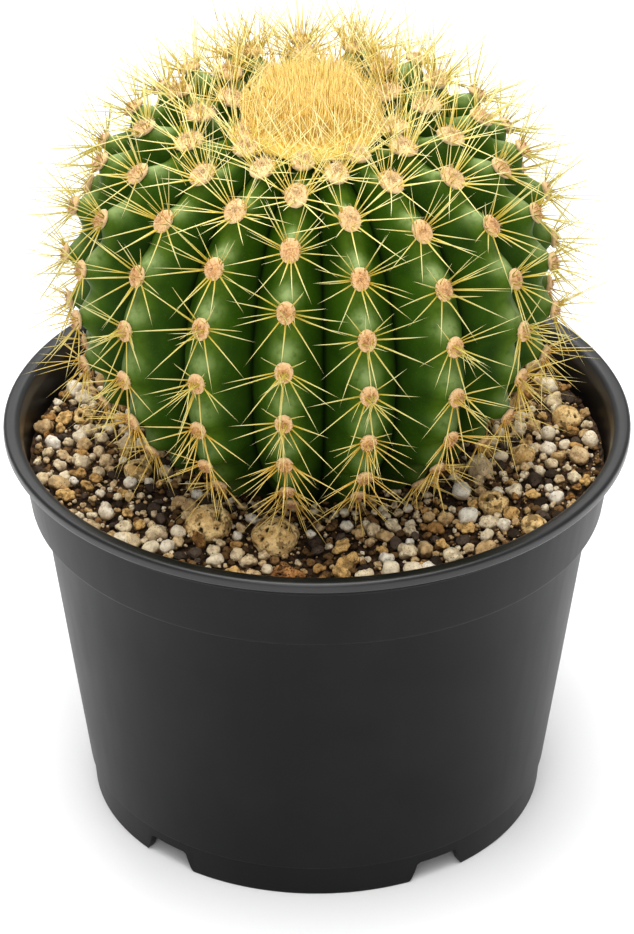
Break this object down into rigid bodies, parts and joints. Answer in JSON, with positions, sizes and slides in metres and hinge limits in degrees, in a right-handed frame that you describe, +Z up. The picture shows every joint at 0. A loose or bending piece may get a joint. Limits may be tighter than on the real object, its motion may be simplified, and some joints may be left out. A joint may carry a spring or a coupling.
{
  "type": "potted round cactus",
  "caption": "Round ribbed barrel cactus with golden spines and a woolly yellow crown, growing in gritty soil in a round tapered plastic nursery pot.",
  "frame": {"origin": "centre of the pot's foot, on the surface that the pot stands on", "axes": "+Z up along the pot's axis, -Y towards the front, the side that the plant leans to and that the picture shows, +X to the right"},
  "size_m": [0.155, 0.155, 0.2063],
  "materials": {
    "pot_plastic": "satin black moulded plastic with a fine grain",
    "potting_soil": "rough dark mix of crumbs, bark, perlite and small pumice",
    "pumice": "rough tan stone with small pits",
    "bark": "rough fibrous bark",
    "cactus": "smooth green skin, with peach felt and golden spines at each areole",
    "crown": "dense pale yellow wool and fine spines"
  },
  "bodies": {
    "root": {"pot": "pot_plastic", "soil": "potting_soil", "cactus": "cactus", "crown_wool": "crown", "pumice_01": "pumice", "pumice_02": "pumice", "pumice_03": "pumice", "pumice_04": "pumice", "pumice_05": "pumice", "pumice_06": "pumice", "pumice_07": "pumice", "pumice_08": "pumice", "bark_chip_01": "bark"}
  },
  "joints": []
}
